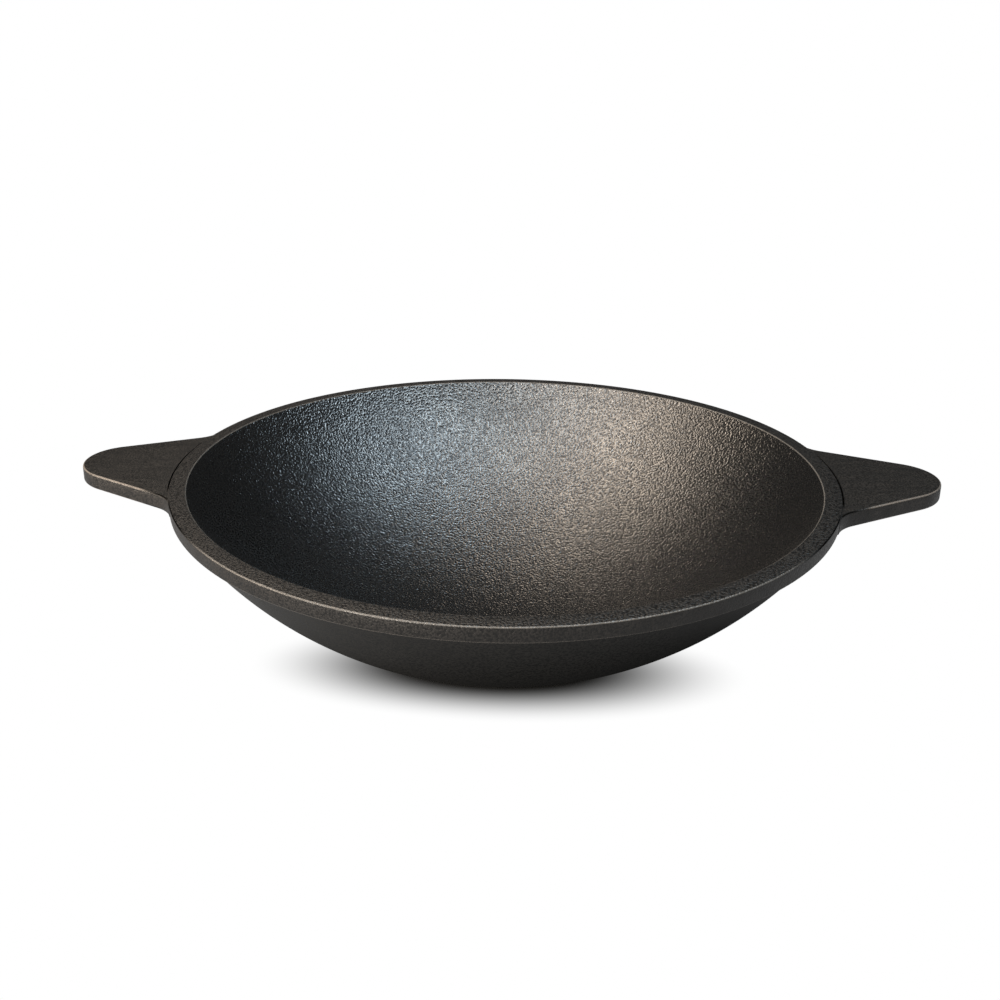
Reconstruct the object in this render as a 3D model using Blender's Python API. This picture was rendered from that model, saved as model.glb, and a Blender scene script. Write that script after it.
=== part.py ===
# Shallow round cast-iron stove pan with a heavy rim and two tapering tab handles.
#
# The real pan is one sand casting. It is modelled here as the four regions that the
# casting's own lines mark off: the bowl up to the ledge, the thick rim band above the
# ledge, and the two handles, each of which starts at the groove round the rim.
# Units are metres, +Z is up, and the origin is the middle of the flat foot.

import math

import bmesh
import bpy

# Rim band: its outer top edge, the width of its top face and how far that face
# rises towards the middle, its height down to the ledge, its casting draft, and how
# much lower the whole band lies at the front and the back than at the handles.
RIM_RADIUS = 0.130
RIM_WIDTH = 0.0067
RIM_CROWN = 0.0005
BAND_HEIGHT = 0.0057
BAND_DRAFT = 0.0002
RIM_DIP = 0.0015
RIM_EDGE_RADIUS = 0.0006
RIM_INNER_EDGE_RADIUS = 0.0004
BAND_FOOT_RADIUS = 0.0005

# Bowl: height of the rim's outer edge above the foot at the handles, radius of the flat
# foot, width of the ledge under the band, thickness over the foot, and the height from
# which the wall follows the rim's dip.
PAN_HEIGHT = 0.0718
FOOT_RADIUS = 0.028
LEDGE_WIDTH = 0.0026
FOOT_THICKNESS = 0.0042
DIP_START = 0.012

# Handles: reach beyond the rim, half the width that the sides would have at the rim's
# circle, the angle of each side to the handle's middle line, the fillet into the rim,
# how far the top starts below the rim's edge, thickness at the rim and at the tip,
# slope of the top face, and rounding of the edges.
HANDLE_REACH = 0.0390
HANDLE_HALF_WIDTH = 0.0326
HANDLE_SIDE_ANGLE = math.radians(28.24)
HANDLE_FILLET = 0.014
HANDLE_DROP = 0.0003
HANDLE_ROOT_THICKNESS = 0.0062
HANDLE_TIP_THICKNESS = 0.0060
HANDLE_SLOPE = math.radians(1.43)
HANDLE_EDGE_RADIUS = 0.0008

# Width of the seam between neighbouring solids.
SEAM = 0.0003

# Fineness of the turned bodies, the curves of their profiles and the handles' arcs.
TURN_STEPS = 96
WALL_STEPS = 13
EDGE_STEPS = 3
INSIDE_STEPS = 4
SEAM_ARC_STEPS = 16
FILLET_STEPS = 6
SIDE_STEPS = 3
TIP_STEPS = 12
SMOOTH_ANGLE = math.radians(32)

# Heights and radii that follow from the sizes above. The inside is one sphere from the
# middle of the floor to the rim's inner edge.
LEDGE_Z = PAN_HEIGHT - BAND_HEIGHT
LEDGE_RADIUS = RIM_RADIUS - BAND_DRAFT - LEDGE_WIDTH
OUTER_CENTRE_Z = (LEDGE_Z ** 2 + LEDGE_RADIUS ** 2 - FOOT_RADIUS ** 2) / (2 * LEDGE_Z)
OUTER_CURVE = math.hypot(OUTER_CENTRE_Z, FOOT_RADIUS)
INNER_DEPTH = PAN_HEIGHT + RIM_CROWN - FOOT_THICKNESS
INNER_CURVE = ((RIM_RADIUS - RIM_WIDTH) ** 2 + INNER_DEPTH ** 2) / (2 * INNER_DEPTH)
INNER_CENTRE_Z = FOOT_THICKNESS + INNER_CURVE


def clear_scene():
    """Remove whatever objects the file opens with."""
    for obj in list(bpy.data.objects):
        bpy.data.objects.remove(obj, do_unlink=True)


def iron(name, colour, roughness):
    """Seasoned cast iron of one shade."""
    material = bpy.data.materials.new(name)
    material.use_nodes = True
    shader = material.node_tree.nodes["Principled BSDF"]
    shader.inputs["Base Color"].default_value = (*colour, 1.0)
    shader.inputs["Roughness"].default_value = roughness
    shader.inputs["Metallic"].default_value = 0.35
    return material


def add_object(name, mesh, material, parent):
    """Link a mesh as a named sub-part of the pan."""
    mesh.materials.clear()
    mesh.materials.append(material)
    obj = bpy.data.objects.new(name, mesh)
    bpy.context.collection.objects.link(obj)
    obj.parent = parent
    return obj


def smooth(mesh):
    """Shade round faces smooth and keep the casting's edges crisp."""
    mesh.shade_smooth()
    mesh.set_sharp_from_angle(angle=SMOOTH_ANGLE)


def follow_dip(mesh, base):
    """Lower a mesh whose origin is at the base height as the rim dips between handles."""
    top = LEDGE_Z - SEAM
    for vertex in mesh.vertices:
        x, y, z = vertex.co
        share = min(1.0, max(0.0, (base + z - DIP_START) / (top - DIP_START)))
        off_axis = x * x + y * y
        if share > 0.0 and off_axis > 0.0:
            vertex.co.z -= RIM_DIP * share * share * (3 - 2 * share) * y * y / off_axis


def arc_on_sphere(curve, centre_z, z_from, z_to, steps):
    """Profile points on a sphere about the pan's axis, between two heights."""
    start = math.acos((centre_z - z_from) / curve)
    end = math.acos((centre_z - z_to) / curve)
    points = []
    for step in range(steps + 1):
        angle = start + (end - start) * step / steps
        points.append((curve * math.sin(angle), centre_z - curve * math.cos(angle)))
    return points


def round_corner(before, corner, after, radius, steps):
    """Points of the arc that replaces a profile's corner."""
    to_before = (before[0] - corner[0], before[1] - corner[1])
    to_after = (after[0] - corner[0], after[1] - corner[1])
    length_before = math.hypot(*to_before)
    length_after = math.hypot(*to_after)
    a = (to_before[0] / length_before, to_before[1] / length_before)
    b = (to_after[0] / length_after, to_after[1] / length_after)
    half = 0.5 * math.acos(a[0] * b[0] + a[1] * b[1])
    reach = radius / math.tan(half)
    middle = (a[0] + b[0], a[1] + b[1])
    length = math.hypot(*middle)
    centre = (
        corner[0] + middle[0] / length * radius / math.sin(half),
        corner[1] + middle[1] / length * radius / math.sin(half),
    )
    first = (corner[0] + a[0] * reach, corner[1] + a[1] * reach)
    last = (corner[0] + b[0] * reach, corner[1] + b[1] * reach)
    start = math.atan2(first[1] - centre[1], first[0] - centre[0])
    end = math.atan2(last[1] - centre[1], last[0] - centre[0])
    sweep = math.remainder(end - start, math.tau)
    points = []
    for step in range(steps + 1):
        angle = start + sweep * step / steps
        points.append((centre[0] + radius * math.cos(angle), centre[1] + radius * math.sin(angle)))
    return points


def turned(name, profile, closed):
    """Mesh turned about Z from a profile of (radius, height) points."""
    bm = bmesh.new()
    verts = [bm.verts.new((radius, 0.0, z)) for radius, z in profile]
    edges = [bm.edges.new(pair) for pair in zip(verts, verts[1:])]
    if closed:
        edges.append(bm.edges.new((verts[-1], verts[0])))
    bmesh.ops.spin(
        bm,
        geom=verts + edges,
        cent=(0.0, 0.0, 0.0),
        axis=(0.0, 0.0, 1.0),
        angle=math.tau,
        steps=TURN_STEPS,
        use_merge=True,
    )
    bmesh.ops.remove_doubles(bm, verts=bm.verts, dist=1e-6)
    bmesh.ops.recalc_face_normals(bm, faces=bm.faces)
    mesh = bpy.data.meshes.new(name)
    bm.to_mesh(mesh)
    bm.free()
    smooth(mesh)
    return mesh


def bowl_mesh():
    """Dished wall from the ledge down to the flat foot, open at the top."""
    top = LEDGE_Z - SEAM
    outside = arc_on_sphere(OUTER_CURVE, OUTER_CENTRE_Z, top, 0.0, WALL_STEPS)
    inside = arc_on_sphere(INNER_CURVE, INNER_CENTRE_Z, FOOT_THICKNESS, top, WALL_STEPS)
    mesh = turned("bowl", outside + [(0.0, 0.0)] + inside, closed=True)
    follow_dip(mesh, 0.0)
    return mesh


def rim_mesh():
    """Thick band above the ledge, its profile measured from the rim's outer edge."""
    outer = (RIM_RADIUS, 0.0)
    inner = (RIM_RADIUS - RIM_WIDTH, RIM_CROWN)
    foot = (RIM_RADIUS - BAND_DRAFT, -BAND_HEIGHT)
    centre = INNER_CENTRE_Z - PAN_HEIGHT
    inside = arc_on_sphere(INNER_CURVE, centre, -BAND_HEIGHT, RIM_CROWN, INSIDE_STEPS)
    profile = round_corner(inner, outer, foot, RIM_EDGE_RADIUS, EDGE_STEPS)
    profile += round_corner(outer, foot, inside[0], BAND_FOOT_RADIUS, EDGE_STEPS)
    profile += inside[:-1]
    profile += round_corner(inside[-2], inner, outer, RIM_INNER_EDGE_RADIUS, EDGE_STEPS)
    mesh = turned("rim_band", profile, closed=True)
    follow_dip(mesh, PAN_HEIGHT)
    return mesh


def arc(centre, radius, start, end, steps):
    """Points from one angle to another, both ends included."""
    points = []
    for step in range(steps + 1):
        angle = start + (end - start) * step / steps
        points.append((centre[0] + radius * math.cos(angle), centre[1] + radius * math.sin(angle)))
    return points


def handle_outline(inset):
    """Plan of a handle along +X, drawn in by the inset everywhere but at its seam."""
    sine = math.sin(HANDLE_SIDE_ANGLE)
    cosine = math.cos(HANDLE_SIDE_ANGLE)
    side = HANDLE_HALF_WIDTH * cosine + RIM_RADIUS * sine
    tip = RIM_RADIUS + HANDLE_REACH
    tip_radius = (side - tip * sine) / (1 - sine)
    tip_centre = (tip - tip_radius, 0.0)
    # The fillet touches the rim's circle and the side, so its centre is known.
    across = side + HANDLE_FILLET
    along = math.sqrt((RIM_RADIUS + HANDLE_FILLET) ** 2 - across ** 2)
    fillet_centre = (across * sine + along * cosine, across * cosine - along * sine)
    radius = HANDLE_FILLET + inset
    # Where that fillet meets the seam's circle, on the handle's side of its centre.
    seam = RIM_RADIUS + SEAM
    distance = math.hypot(*fillet_centre)
    bearing = math.atan2(fillet_centre[1], fillet_centre[0])
    cosine_half = (distance ** 2 + seam ** 2 - radius ** 2) / (2 * distance * seam)
    seam_angle = bearing - math.acos(cosine_half)
    meet = (seam * math.cos(seam_angle), seam * math.sin(seam_angle))
    start = math.atan2(meet[1] - fillet_centre[1], meet[0] - fillet_centre[0])
    side_normal = math.pi / 2 - HANDLE_SIDE_ANGLE
    fillet = arc(fillet_centre, radius, start, side_normal - math.pi, FILLET_STEPS)
    nose = arc(tip_centre, tip_radius - inset, side_normal, -side_normal, TIP_STEPS)
    run = []
    for step in range(1, SIDE_STEPS):
        share = step / SIDE_STEPS
        run.append(tuple(fillet[-1][i] * (1 - share) + nose[0][i] * share for i in range(2)))
    upper = fillet + run
    lower = [(x, -y) for x, y in reversed(upper)]
    root = arc((0.0, 0.0), seam, -seam_angle, seam_angle, SEAM_ARC_STEPS)
    return upper + nose + lower + root[1:-1]


def handle_mesh():
    """Tapering tab with rounded edges, lofted through the outlines of its heights."""
    rise = math.tan(HANDLE_SLOPE)
    thinning = (HANDLE_ROOT_THICKNESS - HANDLE_TIP_THICKNESS) / HANDLE_REACH
    levels = []
    for step in range(EDGE_STEPS + 1):
        angle = math.pi / 2 * step / EDGE_STEPS
        drop = HANDLE_EDGE_RADIUS * (1 - math.cos(angle))
        inset = HANDLE_EDGE_RADIUS * (1 - math.sin(angle))
        levels.append((inset, drop))
    bm = bmesh.new()
    loops = []
    for inset, drop in levels:
        ring = []
        for x, y in handle_outline(inset):
            ring.append(bm.verts.new((x, y, (x - RIM_RADIUS) * rise - drop)))
        loops.append(ring)
    for inset, drop in reversed(levels):
        ring = []
        for x, y in handle_outline(inset):
            out = x - RIM_RADIUS
            thickness = HANDLE_ROOT_THICKNESS - thinning * out
            ring.append(bm.verts.new((x, y, out * rise - thickness + drop)))
        loops.append(ring)
    bm.faces.new(reversed(loops[0]))
    bm.faces.new(loops[-1])
    for above, below in zip(loops, loops[1:]):
        for index in range(len(above)):
            ahead = (index + 1) % len(above)
            bm.faces.new((above[index], above[ahead], below[ahead], below[index]))
    mesh = bpy.data.meshes.new("handle")
    bm.to_mesh(mesh)
    bm.free()
    follow_dip(mesh, PAN_HEIGHT - HANDLE_DROP)
    smooth(mesh)
    return mesh


def build_pan():
    """Place the bowl, the band on it and a handle on either side."""
    pan = bpy.data.objects.new("pan", None)
    bpy.context.collection.objects.link(pan)
    bowl_iron = iron("bowl iron", (0.028, 0.027, 0.026), 0.50)
    rim_iron = iron("rim iron", (0.045, 0.041, 0.038), 0.46)
    handle_iron = iron("handle iron", (0.042, 0.038, 0.035), 0.42)
    add_object("bowl", bowl_mesh(), bowl_iron, pan)
    rim = add_object("rim_band", rim_mesh(), rim_iron, pan)
    rim.location.z = PAN_HEIGHT
    for name, turn in (("handle_right", 0.0), ("handle_left", math.pi)):
        handle = add_object(name, handle_mesh(), handle_iron, pan)
        handle.location.z = PAN_HEIGHT - HANDLE_DROP
        handle.rotation_euler.z = turn


clear_scene()
build_pan()
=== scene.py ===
import math

import bpy
from mathutils import Matrix, Vector


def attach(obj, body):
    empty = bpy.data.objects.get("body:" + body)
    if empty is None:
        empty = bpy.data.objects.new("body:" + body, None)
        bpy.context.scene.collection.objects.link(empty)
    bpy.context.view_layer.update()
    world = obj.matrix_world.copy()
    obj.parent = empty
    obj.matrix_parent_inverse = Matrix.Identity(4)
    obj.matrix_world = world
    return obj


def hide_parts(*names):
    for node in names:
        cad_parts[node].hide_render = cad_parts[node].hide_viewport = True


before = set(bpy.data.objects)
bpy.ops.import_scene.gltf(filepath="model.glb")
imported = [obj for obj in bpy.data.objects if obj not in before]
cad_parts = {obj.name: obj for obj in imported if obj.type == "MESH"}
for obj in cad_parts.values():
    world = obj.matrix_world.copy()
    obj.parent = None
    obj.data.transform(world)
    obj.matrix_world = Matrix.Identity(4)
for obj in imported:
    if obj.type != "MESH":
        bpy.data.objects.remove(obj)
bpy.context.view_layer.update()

# Camera. It stands in front of the pan and looks down on it by 22 degrees. The rim and the
# two handles agree only if the frame was cut from the right part of a wider picture, so
# the lens is shifted by that much.
camera_place = Vector((0.0159, -0.4800, 0.2549))
camera_heading = math.radians(4.82)
camera_tilt = math.radians(90.0 - 22.18)
camera_roll = math.radians(-0.388)
camera_lens = 46.64
camera_shift = 0.06

bpy.ops.object.camera_add()
camera = bpy.context.object
camera.name = "camera"
camera.matrix_world = (
    Matrix.Translation(camera_place)
    @ Matrix.Rotation(camera_heading, 4, "Z")
    @ Matrix.Rotation(camera_tilt, 4, "X")
    @ Matrix.Rotation(camera_roll, 4, "Z")
)
camera.data.lens = camera_lens
camera.data.sensor_width = 36.0
camera.data.shift_x = camera_shift
camera.data.clip_start = 0.01
bpy.context.scene.camera = camera


# Bowl. The dished wall of the casting, from the ledge under the rim band down to the flat
# foot. Its inside keeps the pebbled skin of the sand mould, the outside is dressed
# smoother, and both are seasoned black. The band above is cast on to its top.
rim_z = 0.0718
rim_radius = 0.130
rim_width = 0.0067
rim_crown = 0.0005
band_height = 0.0057
ledge_z = rim_z - band_height
ledge_radius = 0.1272
foot_radius = 0.028
foot_thickness = 0.0042
foot_edge_round = 0.0009
foot_edge_facets = 4
rim_dip = 0.0015
dip_start = 0.012
outer_centre = (ledge_z ** 2 + ledge_radius ** 2 - foot_radius ** 2) / (2 * ledge_z)
outer_curve = math.hypot(outer_centre, foot_radius)
inner_depth = rim_z + rim_crown - foot_thickness
inner_curve = ((rim_radius - rim_width) ** 2 + inner_depth ** 2) / (2 * inner_depth)
inner_centre = foot_thickness + inner_curve
round_segments = 240
sphere_rings = 260
smooth_angle = math.radians(30)
near = 0.00001


def deselect():
    """Leave edit mode and select nothing."""
    if bpy.context.object and bpy.context.object.mode == "EDIT":
        bpy.ops.object.mode_set(mode="OBJECT")
    bpy.ops.object.select_all(action="DESELECT")


def make_active(*objects):
    """Select only these objects, with the last one active."""
    deselect()
    for obj in objects:
        obj.select_set(True)
    bpy.context.view_layer.objects.active = objects[-1]


def in_place():
    """Put the active object's place into its mesh, so that its origin is the pan's."""
    bpy.ops.object.transform_apply(location=True, rotation=True, scale=True)


def part_of_sphere(curve, centre, with_foot):
    """The part of a sphere about the pan's axis that lies under the ledge."""
    deselect()
    bpy.ops.mesh.primitive_uv_sphere_add(
        segments=round_segments, ring_count=sphere_rings, radius=curve, location=(0, 0, centre)
    )
    in_place()
    bpy.ops.object.mode_set(mode="EDIT")
    bpy.ops.mesh.select_all(action="SELECT")
    bpy.ops.mesh.bisect(plane_co=(0, 0, ledge_z), plane_no=(0, 0, 1), clear_outer=True)
    if with_foot:
        bpy.ops.mesh.select_all(action="SELECT")
        bpy.ops.mesh.bisect(
            plane_co=(0, 0, 0), plane_no=(0, 0, 1), clear_inner=True, use_fill=True
        )
    bpy.ops.object.mode_set(mode="OBJECT")
    return bpy.context.object


def select_edges(obj, wanted):
    """In edit mode, select the edges whose two ends both pass a test on their place."""
    bpy.ops.object.mode_set(mode="EDIT")
    bpy.ops.mesh.select_mode(type="EDGE")
    bpy.ops.mesh.select_all(action="DESELECT")
    bpy.ops.object.mode_set(mode="OBJECT")
    points = [vertex.co for vertex in obj.data.vertices]
    for edge in obj.data.edges:
        edge.select = all(wanted(points[index]) for index in edge.vertices)
    bpy.ops.object.mode_set(mode="EDIT")


inner_wall = part_of_sphere(inner_curve, inner_centre, with_foot=False)
bpy.ops.object.mode_set(mode="EDIT")
bpy.ops.mesh.select_all(action="SELECT")
bpy.ops.mesh.flip_normals()
bpy.ops.object.mode_set(mode="OBJECT")
bowl = part_of_sphere(outer_curve, outer_centre, with_foot=True)
bowl.name = "cast_bowl"
select_edges(bowl, lambda co: co.z < near)
bpy.ops.mesh.bevel(
    offset=foot_edge_round, segments=foot_edge_facets, affect="EDGES", clamp_overlap=True
)
make_active(inner_wall, bowl)
bpy.ops.object.join()
select_edges(bowl, lambda co: co.z > ledge_z - near)
bpy.ops.mesh.bridge_edge_loops()
bpy.ops.object.mode_set(mode="OBJECT")


def follow_dip(obj):
    """Lower a piece as the rim dips between the handles, less and less down the bowl."""
    for vertex in obj.data.vertices:
        x, y, z = vertex.co
        share = min(1.0, max(0.0, (z - dip_start) / (ledge_z - dip_start)))
        if share > 0.0 and x * x + y * y > 0.0:
            fall = rim_dip * share * share * (3 - 2 * share)
            vertex.co.z -= fall * y * y / (x * x + y * y)


follow_dip(bowl)
bpy.ops.object.shade_smooth_by_angle(angle=smooth_angle)


def add_node(tree, kind, **settings):
    """A node with its properties set by name."""
    node = tree.nodes.new(kind)
    for key, value in settings.items():
        setattr(node, key, value)
    return node


def feed(tree, socket, value):
    """Give an input a number, a vector, a colour or another node's output."""
    if isinstance(value, bpy.types.NodeSocket):
        tree.links.new(value, socket)
    elif socket.type == "RGBA":
        socket.default_value = (*value, 1.0)
    else:
        socket.default_value = value


def math_of(tree, first, second, operation="ADD"):
    """The result of a Math node between two sockets or numbers."""
    node = add_node(tree, "ShaderNodeMath", operation=operation)
    feed(tree, node.inputs[0], first)
    feed(tree, node.inputs[1], second)
    return node.outputs[0]


def without_sign(tree, value):
    """A socket's value without its sign."""
    node = add_node(tree, "ShaderNodeMath", operation="ABSOLUTE")
    feed(tree, node.inputs[0], value)
    return node.outputs[0]


def vector_math(tree, operation, first, second=(0.0, 0.0, 0.0)):
    """The outputs of a Vector Math node between two sockets or vectors."""
    node = add_node(tree, "ShaderNodeVectorMath", operation=operation)
    feed(tree, node.inputs[0], first)
    feed(tree, node.inputs[1], second)
    return node.outputs


def parts_of(tree, vector):
    """The three parts of a vector, by their letters."""
    node = add_node(tree, "ShaderNodeSeparateXYZ")
    tree.links.new(vector, node.inputs[0])
    return node.outputs


def noise(tree, vector, scale, detail, rough=0.5):
    """A noise texture's value at a place."""
    node = add_node(tree, "ShaderNodeTexNoise")
    tree.links.new(vector, node.inputs["Vector"])
    feed(tree, node.inputs["Scale"], scale)
    node.inputs["Detail"].default_value = detail
    node.inputs["Roughness"].default_value = rough
    return node.outputs[0]


def smooth_ramp(tree, value, span):
    """A smooth rise from 0 at the span's first value to 1 at its second."""
    node = add_node(tree, "ShaderNodeMapRange", interpolation_type="SMOOTHSTEP")
    tree.links.new(value, node.inputs["Value"])
    node.inputs["From Min"].default_value = span[0]
    node.inputs["From Max"].default_value = span[1]
    return node.outputs[0]


def effect_group(name, numbers, *results):
    """A node group with number inputs and outputs, and the sockets at its two ends."""
    group = bpy.data.node_groups.new(name, "ShaderNodeTree")
    for label, value in numbers.items():
        socket = group.interface.new_socket(label, in_out="INPUT", socket_type="NodeSocketFloat")
        socket.default_value = value
    for label in results:
        group.interface.new_socket(label, in_out="OUTPUT", socket_type="NodeSocketFloat")
    ins = add_node(group, "NodeGroupInput").outputs
    outs = add_node(group, "NodeGroupOutput").inputs
    return group, ins, outs


pebble_detail = 0.6
grit_detail = 1.0
grit_fineness = 2.7


def make_sand_grain():
    """Height of a sand-cast skin: rounded pebbles, with finer grit between them."""
    group, ins, outs = effect_group("sand grain", {"Pebble Size": 0.0013, "Grit": 0.3}, "Height")
    place = add_node(group, "ShaderNodeTexCoord").outputs["Object"]
    scale = math_of(group, 1.0, ins["Pebble Size"], "DIVIDE")
    pebbles = noise(group, place, scale, pebble_detail)
    fine_scale = math_of(group, scale, grit_fineness, "MULTIPLY")
    grit = noise(group, place, fine_scale, grit_detail)
    share = math_of(group, grit, ins["Grit"], "MULTIPLY")
    group.links.new(math_of(group, pebbles, share), outs["Height"])
    return group


cloud_detail = 4.0
cloud_roughness = 0.6
cloud_middle = 0.5


def make_seasoning():
    """Cloudy patches of the baked-on oil, from 0 to 1, drawn out along the handles."""
    values = {"Patch Size": 0.02, "Contrast": 2.0, "Stretch": 1.0}
    group, ins, outs = effect_group("seasoning", values, "Patches")
    place = add_node(group, "ShaderNodeTexCoord").outputs["Object"]
    streak = add_node(group, "ShaderNodeCombineXYZ")
    streak.inputs["Y"].default_value = 1.0
    streak.inputs["Z"].default_value = 1.0
    group.links.new(ins["Stretch"], streak.inputs["X"])
    drawn = vector_math(group, "MULTIPLY", place, streak.outputs[0])["Vector"]
    scale = math_of(group, 1.0, ins["Patch Size"], "DIVIDE")
    clouds = noise(group, drawn, scale, cloud_detail, cloud_roughness)
    centred = math_of(group, clouds, cloud_middle, "SUBTRACT")
    stretched = math_of(group, centred, ins["Contrast"], "MULTIPLY")
    patches = add_node(group, "ShaderNodeMath", operation="ADD", use_clamp=True)
    patches.inputs[1].default_value = cloud_middle
    group.links.new(stretched, patches.inputs[0])
    group.links.new(patches.outputs[0], outs["Patches"])
    return group


# Where each mask of the edge colours starts and ends: the lighter scuffed edges, which also
# paint their highlight, and the painted shade by the roots and in the groove. The tilts go
# by the upright part of the surface's normal, the rest in metres from the pan's middle or
# from the handle's root.
edge_tilt = (0.20, 0.55)
face_tilt = (0.99, 0.93)
root_place = 0.126
scuff_highlight_past_root = (0.008, 0.013)
scuff_highlight_before_root = (-0.017, -0.030)
inner_edge = (0.1256, 0.1246)
inner_edge_scuff_highlight = 0.85
scratch_scale = 260.0
scratch_detail = 3.0
painted_shade_before_handle = (0.009, 0.003)
painted_shade_past_band = (-0.020, -0.013)
under_tab_radius = (0.1303, 0.1300)
under_tab_side = (0.1230, 0.1240)
groove_near_side = (0.1295, 0.1299)
groove_far_side = (0.1307, 0.1303)
groove_end = (0.1264, 0.1274)
groove_clean_end = (0.015, 0.010)


def make_edge_scuff_highlight_shade():
    """Rounded edges: lighter where the black is scuffed thin, which also paints their
    highlight, and painted shade by the roots and in the groove.
    """
    group, ins, outs = effect_group("edge scuff, highlight and shade", {"Break Up": 0.5}, "Scuff And Highlight", "Painted Shade")
    coordinates = add_node(group, "ShaderNodeTexCoord").outputs
    place = coordinates["Object"]
    upright = without_sign(group, parts_of(group, coordinates["Normal"])["Z"])
    off_side = smooth_ramp(group, upright, edge_tilt)
    off_face = smooth_ramp(group, upright, face_tilt)
    edge = math_of(group, off_side, off_face, "MULTIPLY")

    parts = parts_of(group, place)
    side = without_sign(group, parts["X"])
    past_root = math_of(group, side, root_place, "SUBTRACT")
    flat = vector_math(group, "MULTIPLY", place, (1.0, 1.0, 0.0))["Vector"]
    radius = vector_math(group, "LENGTH", flat)["Value"]
    inner = smooth_ramp(group, radius, inner_edge)

    # This lighter scuffed colour also paints the edges' highlight, and all round the inner edge
    # a highlight line.
    on_handle = smooth_ramp(group, past_root, scuff_highlight_past_root)
    on_band = smooth_ramp(group, past_root, scuff_highlight_before_root)
    scuffed_highlit = math_of(group, on_handle, on_band, "MAXIMUM")
    outer_scuffed_highlit = math_of(group, scuffed_highlit, inner, "SUBTRACT")
    inner_scuffed_highlit = math_of(group, inner, inner_edge_scuff_highlight, "MULTIPLY")
    scuffed_highlit = math_of(group, outer_scuffed_highlit, inner_scuffed_highlit, "MAXIMUM")
    scratches = noise(group, place, scratch_scale, scratch_detail)
    loss = math_of(group, scratches, ins["Break Up"], "MULTIPLY")
    kept = math_of(group, 1.0, loss, "SUBTRACT")
    scuff_and_highlight = math_of(group, edge, kept, "MULTIPLY")
    group.links.new(math_of(group, scuff_and_highlight, scuffed_highlit, "MULTIPLY"), outs["Scuff And Highlight"])

    # Painted shade: the rounded edges by the handles' roots are darkened, as if shade fell in
    # the crease.
    before_handle = smooth_ramp(group, past_root, painted_shade_before_handle)
    past_band = smooth_ramp(group, past_root, painted_shade_past_band)
    by_root = math_of(group, before_handle, past_band, "MULTIPLY")
    outside = math_of(group, 1.0, inner, "SUBTRACT")
    on_rim = smooth_ramp(group, radius, under_tab_radius)
    beside_tab = smooth_ramp(group, side, under_tab_side)
    covered = math_of(group, on_rim, beside_tab, "MULTIPLY")
    open_edge = math_of(group, outside, covered, "SUBTRACT")
    at_root = math_of(group, by_root, open_edge, "MULTIPLY")
    at_root = math_of(group, edge, at_root, "MULTIPLY")

    # Painted shade in the groove along each handle's root, except near its back end.
    past_rim = smooth_ramp(group, radius, groove_near_side)
    before_tab = smooth_ramp(group, radius, groove_far_side)
    along = smooth_ramp(group, side, groove_end)
    front_part = smooth_ramp(group, parts["Y"], groove_clean_end)
    groove = math_of(group, past_rim, before_tab, "MULTIPLY")
    groove = math_of(group, groove, along, "MULTIPLY")
    groove = math_of(group, groove, front_part, "MULTIPLY")
    group.links.new(math_of(group, at_root, groove, "MAXIMUM"), outs["Painted Shade"])
    return group


sand_grain = make_sand_grain()
seasoning = make_seasoning()
edge_scuff_highlight_shade = make_edge_scuff_highlight_shade()


def place_group(tree, group, **values):
    """An effect group's outputs in a material, with this material's own values."""
    node = add_node(tree, "ShaderNodeGroup", node_tree=group)
    for label, value in values.items():
        node.inputs[label.replace("_", " ")].default_value = value
    return node.outputs


def blend_colours(tree, share, low, high):
    """Mix of two colours, each a colour or a socket, by a socket's share."""
    node = add_node(tree, "ShaderNodeMix", data_type="RGBA")
    tree.links.new(share, node.inputs[0])
    feed(tree, node.inputs[6], low)
    feed(tree, node.inputs[7], high)
    return node.outputs[2]


def blend_numbers(tree, share, low, high):
    """Mix of two numbers, each a number or a socket, by a socket's share."""
    node = add_node(tree, "ShaderNodeMix", data_type="FLOAT")
    tree.links.new(share, node.inputs[0])
    feed(tree, node.inputs[2], low)
    feed(tree, node.inputs[3], high)
    return node.outputs[0]


pit_level = 0.34
top_level = 0.60
pit_roughness = 0.34
edge_break_up = 0.45
scuff_roughness = 0.22
painted_shade_roughness = 0.75
glaze_ior = 1.5


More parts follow.
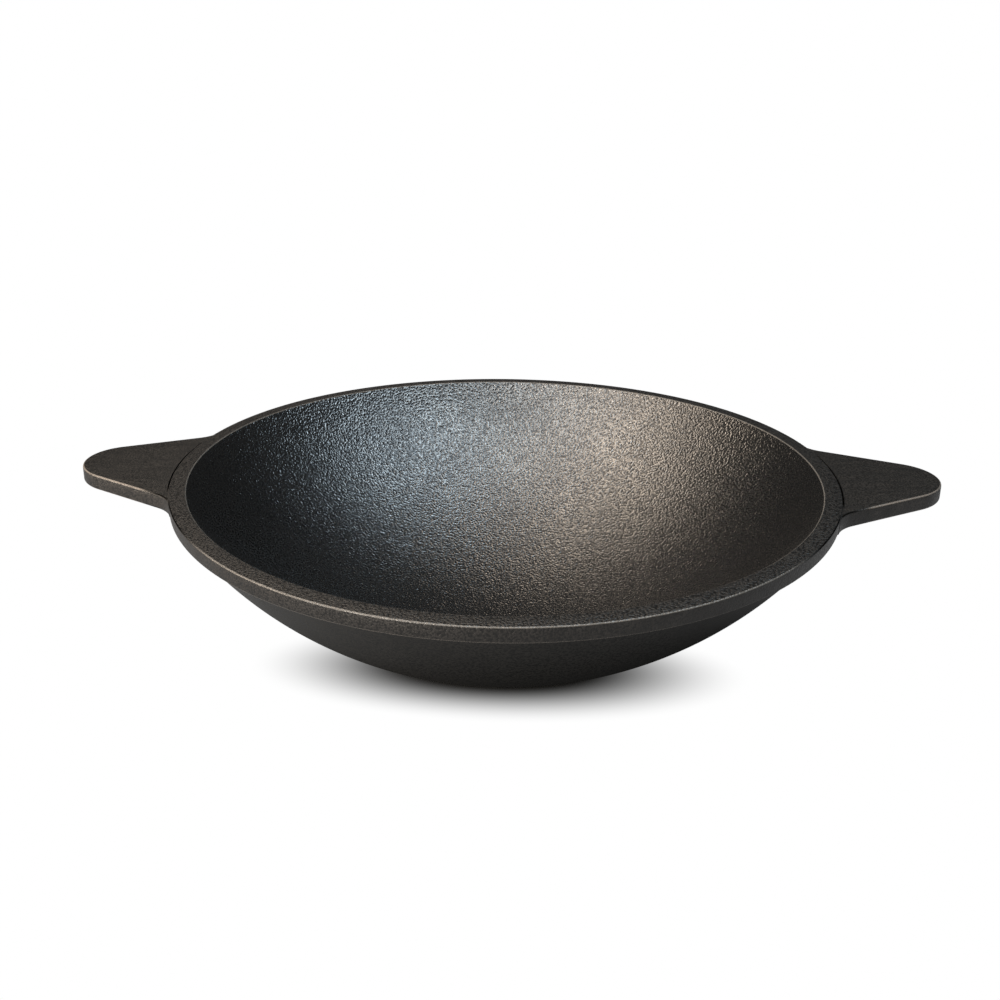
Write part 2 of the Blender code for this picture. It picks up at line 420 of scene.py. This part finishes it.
def cast_iron(
    name, pit, dark, light, smooth, rough, pebble, grit, depth, patch,
    metal=0.0, stretch=1.0, contrast=2.2, scuff_highlight_colour=None,
):
    """Seasoned cast iron: patchy colour and gloss, sand grain, and, if asked, scuffed lighter
    edges that also paint their highlight, with painted shade by the roots.
    """
    material = bpy.data.materials.new(name)
    material.use_nodes = True
    tree = material.node_tree
    shader = tree.nodes["Principled BSDF"]
    shader.inputs["IOR"].default_value = glaze_ior
    shader.inputs["Metallic"].default_value = metal
    patches = place_group(
        tree, seasoning, Patch_Size=patch, Contrast=contrast, Stretch=stretch
    )["Patches"]
    colour = blend_colours(tree, patches, dark, light)
    gloss = blend_numbers(tree, patches, rough, smooth)
    grain = place_group(tree, sand_grain, Pebble_Size=pebble, Grit=grit)["Height"]
    tops = smooth_ramp(tree, grain, (pit_level + grit / 2, top_level + grit / 2))
    colour = blend_colours(tree, tops, pit, colour)
    gloss = blend_numbers(tree, tops, pit_roughness, gloss)
    # Edges lighter where scuffed, which also paints their highlight, and darkened by painted
    # shade at the roots.
    if scuff_highlight_colour:
        edges = place_group(tree, edge_scuff_highlight_shade, Break_Up=edge_break_up)
        scuff_and_highlight, painted_shade = edges["Scuff And Highlight"], edges["Painted Shade"]
        colour = blend_colours(tree, scuff_and_highlight, colour, scuff_highlight_colour)
        gloss = blend_numbers(tree, scuff_and_highlight, gloss, scuff_roughness)
        # The painted shade takes the pit colour, fully metallic and rough.
        colour = blend_colours(tree, painted_shade, colour, pit)
        gloss = blend_numbers(tree, painted_shade, gloss, painted_shade_roughness)
        tree.links.new(blend_numbers(tree, painted_shade, metal, 1.0), shader.inputs["Metallic"])
    tree.links.new(colour, shader.inputs["Base Color"])
    tree.links.new(gloss, shader.inputs["Roughness"])
    bump = add_node(tree, "ShaderNodeBump")
    bump.inputs["Strength"].default_value = 1.0
    bump.inputs["Distance"].default_value = depth
    tree.links.new(grain, bump.inputs["Height"])
    tree.links.new(bump.outputs["Normal"], shader.inputs["Normal"])
    return material


pebbled_iron = cast_iron(
    "pebbled iron", pit=(0.077, 0.077, 0.079), dark=(0.148, 0.146, 0.145),
    light=(0.204, 0.200, 0.196), smooth=0.24, rough=0.28, pebble=0.00085, grit=0.06,
    depth=0.00039, patch=0.030, metal=1.0,
)
outer_iron = cast_iron(
    "outer iron", pit=(0.0060, 0.0058, 0.0054), dark=(0.0110, 0.0106, 0.0098),
    light=(0.0190, 0.0182, 0.0168), smooth=0.45, rough=0.55, pebble=0.0009, grit=0.5,
    depth=0.00006, patch=0.022,
)


def give_materials(obj, *materials):
    """Give an object these materials in place of any that it has."""
    obj.data.materials.clear()
    for material in materials:
        obj.data.materials.append(material)


def paint_faces(obj, slot_index, wanted):
    """Give the faces that pass a test on their middle and normal one of the materials."""
    bpy.ops.object.mode_set(mode="EDIT")
    bpy.ops.mesh.select_mode(type="FACE")
    bpy.ops.mesh.select_all(action="DESELECT")
    bpy.ops.object.mode_set(mode="OBJECT")
    for face in obj.data.polygons:
        face.select = wanted(face.center, face.normal)
    bpy.ops.object.mode_set(mode="EDIT")
    obj.active_material_index = slot_index
    bpy.ops.object.material_slot_assign()
    bpy.ops.object.mode_set(mode="OBJECT")


def on_inside(middle, normal):
    """Whether a face of the bowl looks at the centre of the inner sphere."""
    return (Vector((0, 0, inner_centre)) - middle).dot(normal) > 0.0


give_materials(bowl, outer_iron, pebbled_iron)
paint_faces(bowl, 1, on_inside)
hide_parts("bowl")
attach(bowl, "root")


# Rim band. The heavy collar cast round the mouth: a top face that falls slightly outwards,
# a drafted outer side, and an inner side that runs into the bowl. Its edges are rounded
# by dressing; their colour is lighter where the black is scuffed thin, which also paints
# their highlight, and painted shade darkens them by the handles' roots.
band_draft = 0.0002
rim_edge_round = 0.0006
rim_edge_facets = 6
rim_inner_round = 0.0004
rim_inner_facets = 5
band_foot_round = 0.0005
band_foot_facets = 4
inner_side_steps = 8

deselect()
bpy.ops.mesh.primitive_cone_add(
    vertices=round_segments, radius1=rim_radius - band_draft, radius2=rim_radius,
    depth=rim_z - ledge_z, end_fill_type="NOTHING", location=(0, 0, (rim_z + ledge_z) / 2),
)
rim = bpy.context.object
rim.name = "rim_collar"
in_place()
select_edges(rim, lambda co: co.z > rim_z - near)
previous = (rim_radius, rim_z)
for step in range(inner_side_steps + 1):
    height = rim_z + rim_crown - (rim_crown + band_height) * step / inner_side_steps
    radius = math.sqrt(inner_curve ** 2 - (inner_centre - height) ** 2)
    bpy.ops.mesh.extrude_region_move()
    bpy.ops.transform.resize(
        value=(radius / previous[0], radius / previous[0], 1), center_override=(0, 0, 0)
    )
    bpy.ops.transform.translate(value=(0, 0, height - previous[1]))
    previous = (radius, height)
select_edges(rim, lambda co: co.z < ledge_z + near)
bpy.ops.mesh.bridge_edge_loops()


def face_outwards():
    """In edit mode, turn all faces of the mesh outwards."""
    bpy.ops.mesh.select_all(action="SELECT")
    bpy.ops.mesh.normals_make_consistent(inside=False)


def round_ring(radius, height, offset, facets):
    """Round the rim's edge that lies on one of its rings."""
    select_edges(
        rim,
        lambda co: abs(math.hypot(co.x, co.y) - radius) < near and abs(co.z - height) < near,
    )
    bpy.ops.mesh.bevel(offset=offset, segments=facets, affect="EDGES")


face_outwards()
round_ring(rim_radius, rim_z, rim_edge_round, rim_edge_facets)
round_ring(rim_radius - band_draft, ledge_z, band_foot_round, band_foot_facets)
round_ring(rim_radius - rim_width, rim_z + rim_crown, rim_inner_round, rim_inner_facets)
bpy.ops.object.mode_set(mode="OBJECT")

# Lighter colour of scuffed edges on the rim and band, which also paints their highlight.
band_scuff_and_highlight = (0.155, 0.143, 0.130)
rim_iron = cast_iron(
    "rim iron", pit=(0.0040, 0.0036, 0.0033), dark=(0.013, 0.0115, 0.0105),
    light=(0.026, 0.0235, 0.0215), smooth=0.42, rough=0.52, pebble=0.00085, grit=0.15,
    depth=0.00042, patch=0.006, scuff_highlight_colour=band_scuff_and_highlight,
)
band_iron = cast_iron(
    "band iron", pit=(0.0060, 0.0055, 0.0050), dark=(0.012, 0.0107, 0.0098),
    light=(0.024, 0.0217, 0.0198), smooth=0.44, rough=0.52, pebble=0.0007, grit=0.20,
    depth=0.00018, patch=0.005, contrast=2.6, scuff_highlight_colour=band_scuff_and_highlight,
)
inner_side_tilt = -0.5
outer_side_tilt = 0.7


def on_inner_side(middle, normal):
    """Whether a face of the rim belongs to the pebbled side that runs into the bowl."""
    below_edge = middle.z < rim_z + rim_crown - rim_inner_round
    inward = math.hypot(middle.x, middle.y) < rim_radius - rim_width + near
    return below_edge and inward and normal.z > inner_side_tilt


def on_outer_side(middle, normal):
    """Whether a face of the rim belongs to the band's outer side or its rounded edges."""
    return math.hypot(middle.x, middle.y) > ledge_radius and normal.z < outer_side_tilt


give_materials(rim, rim_iron, pebbled_iron, band_iron)
paint_faces(rim, 1, on_inner_side)
paint_faces(rim, 2, on_outer_side)
follow_dip(rim)
bpy.ops.object.shade_smooth_by_angle(angle=smooth_angle)
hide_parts("rim_band")
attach(rim, "root")


# Handles. Two flat tabs cast in one with the band, level with its top. The sides draw in to
# a round nose and run into the band with fillets; a fine groove is cut along each root. The
# handles' grain is finer and shallower than the rim's, with patches drawn out along them.
handle_reach = 0.0390
handle_half_width = 0.0326
side_angle = math.radians(28.24)
fillet_radius = 0.014
root_thickness = 0.0062
tip_thickness = 0.0060
handle_drop = 0.0003
handle_slope = math.radians(1.43)
handle_edge_round = 0.0008
handle_edge_facets = 6
root_sink = 0.0014
groove_angle = math.radians(11.5)
groove_gap = 0.0004
groove_depth = 0.0012
nose_steps = 24
fillet_steps = 14
root_steps = 18
groove_steps = 20

sine = math.sin(side_angle)
cosine = math.cos(side_angle)
side_line = handle_half_width * cosine + rim_radius * sine
nose = rim_radius + handle_reach
nose_radius = (side_line - nose * sine) / (1 - sine)
nose_end = Vector((nose - nose_radius + nose_radius * sine, nose_radius * cosine, 0))
fillet_across = side_line + fillet_radius
fillet_along = math.sqrt((rim_radius + fillet_radius) ** 2 - fillet_across ** 2)
fillet_centre = Vector((
    fillet_across * sine + fillet_along * cosine, fillet_across * cosine - fillet_along * sine, 0
))
fillet_bearing = math.atan2(fillet_centre.y, fillet_centre.x)
fillet_start = fillet_centre - fillet_radius * Vector((sine, cosine, 0))
fillet_end = fillet_centre * rim_radius / (rim_radius + fillet_radius)
turn_from = math.atan2(fillet_start.y - fillet_centre.y, fillet_start.x - fillet_centre.x)
turn_to = math.atan2(fillet_end.y - fillet_centre.y, fillet_end.x - fillet_centre.x)
fillet_sweep = math.remainder(turn_to - turn_from, math.tau)
sunk_end = fillet_end * (rim_radius - root_sink) / rim_radius
seed_size = 0.001


def start_outline(point):
    """A new object of one selected vertex, in edit mode."""
    deselect()
    bpy.ops.mesh.primitive_plane_add(size=seed_size, location=point)
    in_place()
    bpy.ops.object.mode_set(mode="EDIT")
    bpy.ops.mesh.select_mode(type="VERT")
    bpy.ops.mesh.select_all(action="SELECT")
    bpy.ops.mesh.merge(type="CENTER")
    return bpy.context.object


def extrude_by(offset):
    """Extrude what is selected in edit mode by an offset."""
    bpy.ops.mesh.extrude_region_move(TRANSFORM_OT_translate={"value": offset})


def spin_about(x, y, z, angle, steps):
    """Spin what is selected in edit mode about an upright line."""
    bpy.ops.mesh.spin(steps=steps, angle=angle, center=(x, y, z), axis=(0, 0, 1))


handle = start_outline((nose, 0, rim_z))
handle.name = "tab_handle_right"
spin_about(nose - nose_radius, 0, rim_z, side_angle - math.pi / 2, nose_steps)
extrude_by(fillet_start - nose_end)
spin_about(fillet_centre.x, fillet_centre.y, rim_z, -fillet_sweep, fillet_steps)
extrude_by(sunk_end - fillet_end)
spin_about(0, 0, rim_z, fillet_bearing, root_steps)
bpy.ops.mesh.select_all(action="SELECT")
bpy.ops.mesh.duplicate()
bpy.ops.transform.resize(value=(1, -1, 1), center_override=(0, 0, 0))
bpy.ops.mesh.select_all(action="SELECT")
bpy.ops.mesh.remove_doubles(threshold=near)
bpy.ops.mesh.select_all(action="SELECT")
bpy.ops.mesh.edge_face_add()
bpy.ops.mesh.select_all(action="SELECT")
extrude_by((0, 0, -root_thickness))
face_outwards()


def off_the_root(co):
    """Whether a point of the handle's outline lies clear of the band."""
    level = abs(co.z - rim_z) < near or abs(co.z - rim_z + root_thickness) < near
    return level and math.hypot(co.x, co.y) > rim_radius - near


select_edges(handle, off_the_root)
bpy.ops.object.mode_set(mode="OBJECT")
for edge in handle.data.edges:
    ends = [handle.data.vertices[index].co for index in edge.vertices]
    if abs(ends[0].z - ends[1].z) > near:
        edge.select = False
bpy.ops.object.mode_set(mode="EDIT")
bpy.ops.mesh.bevel(offset=handle_edge_round, segments=handle_edge_facets, affect="EDGES")

groove_floor = rim_z - groove_depth
groove_turn = Matrix.Rotation(groove_angle, 3, "Z")
groove_start = groove_turn @ Vector((rim_radius + groove_gap, 0, groove_floor))
groove_across = groove_turn @ Vector((-groove_gap - 2 * root_sink, 0, 0))
cutter = start_outline(groove_start)
extrude_by(groove_across)
bpy.ops.mesh.select_all(action="SELECT")
spin_about(0, 0, groove_floor, 2 * groove_angle, groove_steps)
bpy.ops.mesh.select_all(action="SELECT")
extrude_by((0, 0, 2 * groove_depth))
face_outwards()
make_active(handle)
bpy.ops.object.modifier_add(type="BOOLEAN")
groove_cut = handle.modifiers[-1]
groove_cut.operation = "DIFFERENCE"
groove_cut.solver = "MANIFOLD"
groove_cut.object = cutter
bpy.ops.object.modifier_apply(modifier=groove_cut.name)
make_active(cutter)
bpy.ops.object.delete()
make_active(handle)

for vertex in handle.data.vertices:
    out = vertex.co.x - rim_radius
    down = (rim_z - vertex.co.z) / root_thickness
    vertex.co.z += out * math.tan(handle_slope)
    vertex.co.z += down * (root_thickness - tip_thickness) * out / handle_reach - handle_drop
follow_dip(handle)
bpy.ops.object.shade_smooth_by_angle(angle=smooth_angle)

# The handles' edges get a lighter scuffed colour that also paints their highlight, and painted
# shade in the groove and by the root.
handle_iron = cast_iron(
    "handle iron", pit=(0.0080, 0.0073, 0.0067), dark=(0.0095, 0.0086, 0.0079),
    light=(0.032, 0.0285, 0.0255), smooth=0.38, rough=0.50, pebble=0.0007, grit=0.20,
    depth=0.00014, patch=0.0040, stretch=0.30, contrast=2.6, scuff_highlight_colour=(0.22, 0.19, 0.165),
)
give_materials(handle, handle_iron)
make_active(handle)
bpy.ops.object.duplicate()
other_handle = bpy.context.object
other_handle.name = "tab_handle_left"
other_handle.rotation_euler.z = math.pi
in_place()
for piece, node in ((handle, "handle_right"), (other_handle, "handle_left")):
    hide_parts(node)
    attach(piece, "root")


# Floor and surround. A white table and a white room beyond it. Close to the foot and towards
# the camera the table is near black and takes the lamps' light, so the pan's shadow there is
# a painted shadow with the cast one on it. The rest is plain white to the camera and through
# glass, and shows only faintly in the black iron.
floor_size = 6.0
floor_drop = 0.0001
# Near-black table colour inside the shadow masks: a painted shadow under the cast one.
painted_shadow_grey = (0.03, 0.03, 0.03)
white_in_gloss = 0.02
white_on_matte = 0.05
shadow_middle = (0.0, -0.031, 0.0)
shadow_squeeze = (0.408, 1.0, 1.0)
shadow_fade = (0.0143, 0.0405)
foot_shadow_middle = (0.0, 0.016, 0.0)
foot_shadow_fade = (0.040, 0.084)
bounce = 0.47
bounce_middle = (0.020, 0.0, 0.0)
bounce_rise = (0.072, 0.19)
back_bounce = 0.22
back_bounce_behind = (-0.030, 0.060)
back_bounce_off_foot = (0.050, 0.100)


def white_seen(tree, matte):
    """How bright the white is for a ray: full for the camera, faint in gloss."""
    path = add_node(tree, "ShaderNodeLightPath").outputs
    clear = math_of(tree, path["Is Camera Ray"], path["Is Transmission Ray"])
    glossy = math_of(tree, path["Is Glossy Ray"], white_in_gloss, "MULTIPLY")
    seen = math_of(tree, clear, glossy, "MAXIMUM")
    return math_of(tree, seen, matte, "MAXIMUM")


deselect()
bpy.ops.mesh.primitive_plane_add(size=floor_size, location=(0, 0, -floor_drop))
floor = bpy.context.object
floor.name = "floor"
white = bpy.data.materials.new("white table")
white.use_nodes = True
tree = white.node_tree
tree.nodes.clear()
surface = add_node(tree, "ShaderNodeOutputMaterial")
table = add_node(tree, "ShaderNodeBsdfDiffuse")
table.inputs["Color"].default_value = (*painted_shadow_grey, 1.0)
glow = add_node(tree, "ShaderNodeEmission")
fade = add_node(tree, "ShaderNodeMixShader")
place = add_node(tree, "ShaderNodeTexCoord").outputs["Object"]

from_bounce = vector_math(tree, "DISTANCE", place, bounce_middle)["Value"]
thrown_back = smooth_ramp(tree, from_bounce, bounce_rise)
thrown_back = math_of(tree, thrown_back, bounce, "MULTIPLY")
behind = smooth_ramp(tree, parts_of(tree, place)["Y"], back_bounce_behind)
from_foot = vector_math(tree, "LENGTH", place)["Value"]
off_foot = smooth_ramp(tree, from_foot, back_bounce_off_foot)
back_light = math_of(tree, behind, off_foot, "MULTIPLY")
back_light = math_of(tree, back_light, back_bounce, "MULTIPLY")
thrown_back = math_of(tree, thrown_back, back_light, "MAXIMUM")
tree.links.new(white_seen(tree, thrown_back), glow.inputs["Strength"])

# Where the painted shadow patch lies: towards the camera and round the foot.
from_shadow = vector_math(tree, "SUBTRACT", place, shadow_middle)["Vector"]
squeezed = vector_math(tree, "MULTIPLY", from_shadow, shadow_squeeze)["Vector"]
reach = vector_math(tree, "LENGTH", squeezed)["Value"]
past_shadow = smooth_ramp(tree, reach, shadow_fade)
from_pan = vector_math(tree, "DISTANCE", place, foot_shadow_middle)["Value"]
past_foot = smooth_ramp(tree, from_pan, foot_shadow_fade)
tree.links.new(math_of(tree, past_shadow, past_foot, "MINIMUM"), fade.inputs[0])
tree.links.new(table.outputs[0], fade.inputs[1])
tree.links.new(glow.outputs[0], fade.inputs[2])
tree.links.new(fade.outputs[0], surface.inputs["Surface"])
floor.data.materials.append(white)

world = bpy.data.worlds.new("white room")
bpy.context.scene.world = world
world.use_nodes = True
tree = world.node_tree
background = tree.nodes["Background"]
background.inputs["Color"].default_value = (1, 1, 1, 1)
tree.links.new(white_seen(tree, white_on_matte), background.inputs["Strength"])

bpy.context.scene.view_settings.view_transform = "Standard"


# Lamps. Small soft boxes hang over the pan: warm ones on the left and behind, neutral ones in
# front, cool ones on the right and weak ones overhead. Two low ones at the front and the
# left light the band and the edges of the handles.
lamp_distance = 1.0
lamp_size = 0.36
warm = (1.0, 0.84, 0.68)
soft_warm = (1.0, 0.91, 0.80)
neutral = (1.0, 1.0, 0.98)
soft_cool = (0.82, 0.94, 1.0)
cool = (0.66, 0.85, 1.0)


def soft_box(name, bearing, height_angle, power, colour):
    """A round soft light that faces the bowl, placed by its bearing and height angle."""
    flat = math.cos(math.radians(height_angle)) * lamp_distance
    place = Vector((
        flat * math.cos(math.radians(bearing)), flat * math.sin(math.radians(bearing)),
        math.sin(math.radians(height_angle)) * lamp_distance,
    ))
    bpy.ops.object.light_add(type="AREA", location=place)
    lamp = bpy.context.object
    lamp.name = name
    lamp.data.shape = "DISK"
    lamp.data.size = lamp_size
    lamp.data.energy = power
    lamp.data.color = colour
    lamp.rotation_euler = (-place).to_track_quat("-Z", "Y").to_euler()


soft_box("left high", 180, 65, 1.4, warm)
soft_box("left", 180, 50, 1.65, warm)
soft_box("front left", 210, 50, 1.15, soft_warm)
soft_box("front high left", 240, 65, 1.35, neutral)
soft_box("front high", 270, 65, 1.05, soft_cool)
soft_box("front", 255, 48, 0.9, neutral)
soft_box("front high right", 330, 65, 1.8, soft_cool)
soft_box("right high", 0, 65, 2.15, cool)
soft_box("top left", 180, 78, 0.42, neutral)
soft_box("top right", 60, 78, 0.36, neutral)
soft_box("back left", 130, 65, 1.3, warm)
soft_box("back low", 108, 34, 0.06, soft_warm)
soft_box("front low", 234, 15, 9.4, soft_warm)
soft_box("left low", 196, 12, 4.0, warm)
